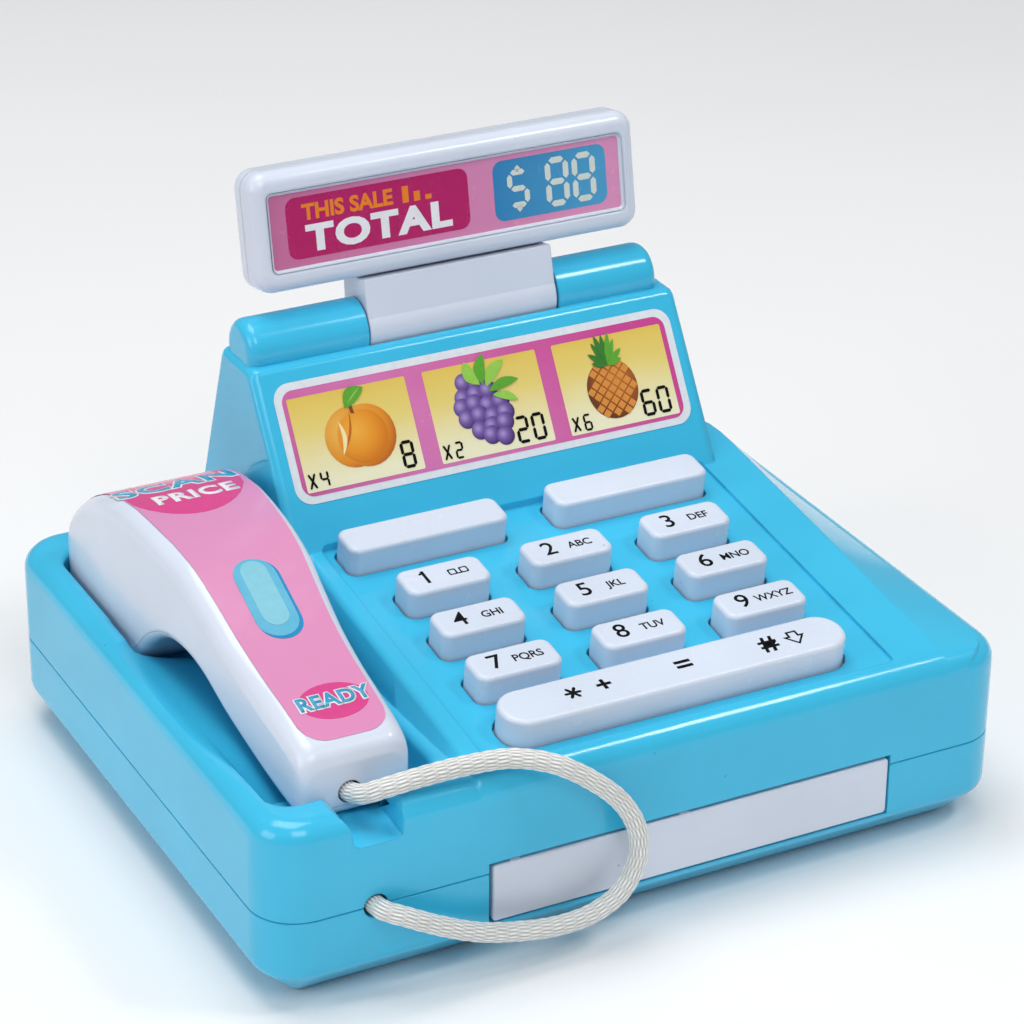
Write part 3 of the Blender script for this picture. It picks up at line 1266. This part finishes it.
def sticker_layer(name, shape, rise, material, *nodes, fine=False):
    """A printed layer on the sloping face: finely divided where it follows the sticker's ruffled edge."""
    shape.name = name
    if fine:
        only(shape)
        bpy.ops.object.mode_set(mode="EDIT")
        for axis, start, count in (((1, 0, 0), -1, 46), ((0, 1, 0), 14, 12)):
            for k in range(count):
                bpy.ops.mesh.select_all(action="SELECT")
                spot = Vector(axis) * (start + k * 0.8) * MM
                bpy.ops.mesh.bisect(plane_co=spot, plane_no=axis)
        bpy.ops.object.mode_set(mode="OBJECT")
    for vertex in shape.data.vertices:
        vertex.co.z += (rise + ruffle(vertex.co.x / MM, vertex.co.y / MM)) * MM
    thicken(shape, 0.03)
    if fine:
        bpy.ops.object.shade_smooth_by_angle(angle=math.radians(40))
    return finish_piece(settle(shape, STICKER), "housing", material, "printed_sticker", *nodes)


def discs(name, spots):
    """Round dots, each with its own unit map, so that its colour can run from its middle."""
    made = []
    for x, y, r in spots:
        bpy.ops.object.select_all(action="DESELECT")
        bpy.ops.mesh.primitive_circle_add(vertices=28, radius=r * MM, fill_type="TRIFAN",
                                          location=(x * MM, y * MM, len(made) * 0.0000015))
        made.append(settle(bpy.context.object))
    return gathered(name, made)


def leaf(x, y, length, width, turn, bend=0.25):
    """The outline of a pointed leaf that starts at x, y."""
    outline = []
    for side in (1, -1):
        for k in range(9):
            t = k / 8 if side > 0 else 1 - k / 8
            across = side * width / 2 * math.sin(math.pi * t) ** 0.8 + bend * width * math.sin(math.pi * t)
            spot = Matrix.Rotation(turn, 2) @ Vector((t * length, across))
            outline.append((x + spot.x, y + spot.y))
    return outline[:9] + outline[10:17]


def make_price_sticker():
    x0, x1, v1 = -33.6, 51.6, 23.3
    sticker_layer("sticker_film", flat("film", oblong(x0, x1, 0, v1, 3.4, 8)), 0.06, FILM, "price_sticker",
                  fine=True)
    sticker_layer("sticker_border", flat("border", oblong(x0 + 1.5, x1 - 1.5, 1.4, v1 - 1.5, 2.4, 8)), 0.1,
                  STICKER_BORDER, fine=True)
    cells = ((-31.2, -6.7), (-3.0, 21.3), (24.9, 49.0))
    for k, (a, b) in enumerate(cells):
        cell = flat("cell", oblong(a, b, 2.15, 20.2, 0.3, 2))
        sticker_layer(f"sticker_cell_{k + 1}", cell, 0.14, CELL_YELLOW, fine=True)
    words = (("X4", "8"), ("X2", "20"), ("X6", "60"))
    for k, ((a, b), (times, price)) in enumerate(zip(cells, words)):
        sticker_print = counter_digits("times", times, 2.9, a + 2.7, 4.2, 0, 0.42, 0.02, 0.86)
        middle = b - 1.1 - 1.75 * len(price)
        price_print = counter_digits("price", price, 4.7, middle, 5.5, 0, 0.62, 0.05, 0.74)
        both = gathered("numbers", [sticker_print, price_print])
        both.name = f"sticker_numbers_{k + 1}"
        for vertex in both.data.vertices:
            vertex.co.z += 0.24 * MM
        finish_piece(settle(both, STICKER), "housing", BLACK, "printed_sticker")


def make_peach(cx, cy):
    """A round fruit with a fold, a stem and one leaf."""
    edge = discs("disc", [(cx - 1.3, cy, 5.9), (cx + 1.3, cy - 0.2, 6.0)])
    stem = [(cx - 0.9, cy + 4.4), (cx - 0.2, cy + 4.3), (cx - 0.6, cy + 7.2), (cx - 1.3, cy + 7.4)]
    sticker_layer("peach_edge", edge, 0.2, PEACH_EDGE)
    sticker_layer("peach", discs("disc", [(cx + 0.6, cy - 0.2, 5.1)]), 0.25, PEACH)
    sticker_layer("peach_fold", flat("fold", leaf(cx - 1.2, cy + 4.9, 8.6, 0.5, -1.95, 1.6)), 0.29, PEACH_FOLD)
    sticker_layer("peach_light", flat("light", leaf(cx - 4.3, cy - 3.2, 6.6, 0.9, 1.5, -0.9)), 0.3, PEACH_LIGHT)
    sticker_layer("peach_stem", flat("stem", stem), 0.3, STEM_BROWN)
    sticker_layer("peach_leaf", flat("leaf", leaf(cx - 1.9, cy + 5.6, 5.6, 3.0, 0.62)), 0.34, LEAF_GREEN)
    sticker_layer("peach_leaf_vein", flat("vein", leaf(cx - 1.2, cy + 6.3, 4.2, 0.3, 0.7)), 0.38, LEAF_PALE)


def make_grapes(gx, gy):
    """A bunch of round berries under five leaves."""
    berries = []
    rows = ((2, 5.6, -1.8), (3, 3.4, -1.2), (4, 1.3, -0.5), (4, -1.0, 0.0), (3, -3.2, 0.8), (2, -5.2, 1.6))
    for count, v, slide in rows:
        for k in range(count):
            along = slide + (k - (count - 1) / 2) * 2.75
            berries.append((gx + along, gy + v + 0.35 * ((k * 7 + count) % 3 - 1), 1.85))
    sticker_layer("grapes", discs("berries", berries), 0.2, GRAPE)
    leaves = ((0.0, 5.0, 5.4, 2.6, 2.0), (0.6, 5.0, 6.0, 2.4, 1.35), (1.2, 4.4, 6.6, 2.4, 0.75),
              (1.6, 3.4, 6.8, 2.0, 0.2), (2.2, 2.6, 5.4, 1.7, -0.35))
    for k, (x, y, long, wide, turn) in enumerate(leaves):
        blade = flat("leaf", leaf(gx + x, gy + y, long, wide, turn))
        sticker_layer(f"grape_leaf_{k + 1}", blade, 0.3 + 0.02 * k, LEAF_GREEN if k % 2 else LEAF_PALE)


def make_pineapple(px, py):
    """A tall fruit with a scaly skin and a crown."""
    sticker_layer("pineapple", flat("fruit", oval(px, py, 5.5, 5.9)), 0.2, PINEAPPLE)
    scales = []
    for i in range(-3, 4):
        for j in range(-5, 6):
            sx, sy = px + (i + (j % 2) / 2) * 2.3, py + j * 1.15
            if ((sx - px) / 5.0) ** 2 + ((sy - py) / 5.3) ** 2 < 1:
                lozenge = [(sx - 0.95, sy), (sx, sy - 0.92), (sx + 0.95, sy), (sx, sy + 0.92)]
                scales.append(flat("scale", lozenge))
    sticker_layer("pineapple_scales", gathered("scales", scales), 0.24, PINEAPPLE_SCALE)
    crown = ((1.57, 6.2), (1.1, 5.4), (2.05, 5.4), (0.65, 4.6), (2.5, 4.6), (1.33, 6.4), (1.82, 6.4),
             (0.25, 3.4), (2.9, 3.4))
    for k, (turn, long) in enumerate(crown):
        blade = flat("leaf", leaf(px, py + 4.7, long, 1.2, turn, 0))
        sticker_layer(f"pineapple_leaf_{k + 1}", blade, 0.28 + 0.015 * k, LEAF_GREEN if k % 2 else LEAF_DARK)


SIGN_PINK = shaded_ink("sign_pink_printing", SIGN, (1, 0, 0), [
    (-30, colour(196, 104, 150)), (14, colour(214, 130, 176)), (46, colour(222, 146, 188))], 0.22)
SIGN_BLUE = shaded_ink("sign_blue_printing", SIGN, (1, 0, 0), [
    (18, colour(40, 128, 184)), (43, colour(72, 158, 204))], 0.22)
SEGMENT_WHITE = ink("segment_printing", colour(214, 224, 216), 0.3)
SCANNER_PINK = shaded_ink("scanner_pink_printing", Matrix.Identity(4), (0, 1, 0), [
    (-48, colour(222, 140, 186)), (0, colour(220, 146, 188)), (48, colour(212, 140, 184))], 0.18)
SCANNER_MAGENTA = ink("scanner_magenta_printing", colour(218, 70, 140), 0.2)
PILL_DARK = ink("pill_dark_printing", colour(30, 140, 196), 0.2)
PILL_MID = ink("pill_printing", colour(96, 182, 214), 0.2)
PILL_PALE = ink("pill_pale_printing", colour(132, 200, 218), 0.2)
STICKER_BORDER = shaded_ink("sticker_border_printing", STICKER, (0.8, 0.6, 0), [
    (-30, colour(196, 78, 142)), (10, colour(214, 120, 178)), (50, colour(204, 70, 146))], 0.22)
CELL_YELLOW = shaded_ink("cell_yellow_printing", STICKER, (0, -1, 0), [
    (-21, colour(226, 190, 74)), (-12, colour(232, 210, 120)), (-2, colour(240, 236, 200))], 0.2)
PEACH_EDGE = round_ink("peach_edge_printing", [(0.0, colour(240, 190, 90)), (0.5, colour(226, 140, 30)),
                                               (0.66, colour(190, 98, 20))])
PEACH = round_ink("peach_printing", [(0.0, colour(244, 176, 62)), (0.4, colour(232, 146, 30)),
                                     (0.62, colour(214, 120, 18))])
PEACH_FOLD = ink("peach_fold_printing", colour(196, 104, 20), 0.3)
PEACH_LIGHT = ink("peach_light_printing", colour(252, 232, 170), 0.3)
STEM_BROWN = ink("stem_printing", colour(120, 74, 30), 0.3)
LEAF_GREEN = ink("leaf_green_printing", colour(92, 168, 48), 0.3)
LEAF_PALE = ink("leaf_pale_printing", colour(150, 204, 80), 0.3)
LEAF_DARK = ink("leaf_dark_printing", colour(52, 124, 40), 0.3)
GRAPE = round_ink("grape_printing", [(0.0, colour(170, 150, 206)), (0.3, colour(116, 88, 160)),
                                     (0.62, colour(64, 40, 104))])
PINEAPPLE = round_ink("pineapple_printing", [(0.0, colour(190, 112, 44)), (0.4, colour(150, 78, 30)),
                                             (0.62, colour(104, 54, 24))])
PINEAPPLE_SCALE = ink("pineapple_scale_printing", colour(220, 142, 58), 0.3)


# ---- fittings that keep their own shape --------------------------------------------------
def dress_fittings():
    for name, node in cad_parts.items():
        if "screw" in name or "spring" in name:
            material = STEEL
        elif name == "key_guide_plate":
            material = BLUE_INSIDE
        elif name.startswith("cord_knot"):
            material = CORD
        else:
            continue
        node.data.materials.clear()
        node.data.materials.append(material)


# ---- studio ------------------------------------------------------------------------------
def area_light(name, place, target, size, power):
    bpy.ops.object.light_add(type="AREA", location=place)
    lamp = bpy.context.object
    lamp.name = name
    lamp.data.size = size
    lamp.data.energy = power
    lamp.rotation_euler = (Vector(target) - Vector(place)).to_track_quat("-Z", "Y").to_euler()


def make_studio():
    bpy.ops.mesh.primitive_plane_add(size=6, location=(0, 0, 0))
    floor = bpy.context.object
    floor.name = "floor"
    made, tree, shader, place = new_finish("pale_floor")
    greys = [(0.3, (0.9, 0.9, 0.9, 1)), (0.7, (0.93, 0.93, 0.93, 1))]
    tree.links.new(ramp(tree, noise(tree, place, 4, 2), greys), shader.inputs["Base Color"])
    shader.inputs["Roughness"].default_value = 0.9
    floor.data.materials.append(made)
    world = bpy.data.worlds.new("studio")
    bpy.context.scene.world = world
    world.use_nodes = True
    world.node_tree.nodes["Background"].inputs["Color"].default_value = (0.95, 0.97, 1, 1)
    world.node_tree.nodes["Background"].inputs["Strength"].default_value = 0.3
    area_light("overhead_panel", (-0.1, 0.15, 1), (0, 0, 0.03), 0.6, 5)
    area_light("front_panel", (-0.2, -0.75, 0.95), (0, 0, 0.04), 0.5, 3.2)
    area_light("left_panel", (-0.95, -0.1, 0.45), (0, 0, 0.04), 0.5, 2.2)
    area_light("right_panel", (0.47, -0.36, 0.88), (0, 0, 0.05), 0.16, 1.7)
    bpy.context.scene.view_settings.view_transform = "Standard"


aim_camera()
make_cord()
make_top_shell()
make_bottom_shell()
make_keys()
make_legends()
make_drawer()
make_sign()
make_scanner()
make_scanner_label()
make_price_sticker()
make_peach(-18.2, 10.9)
make_grapes(8.2, 10.6)
make_pineapple(35.8, 9.6)
dress_fittings()
make_studio()
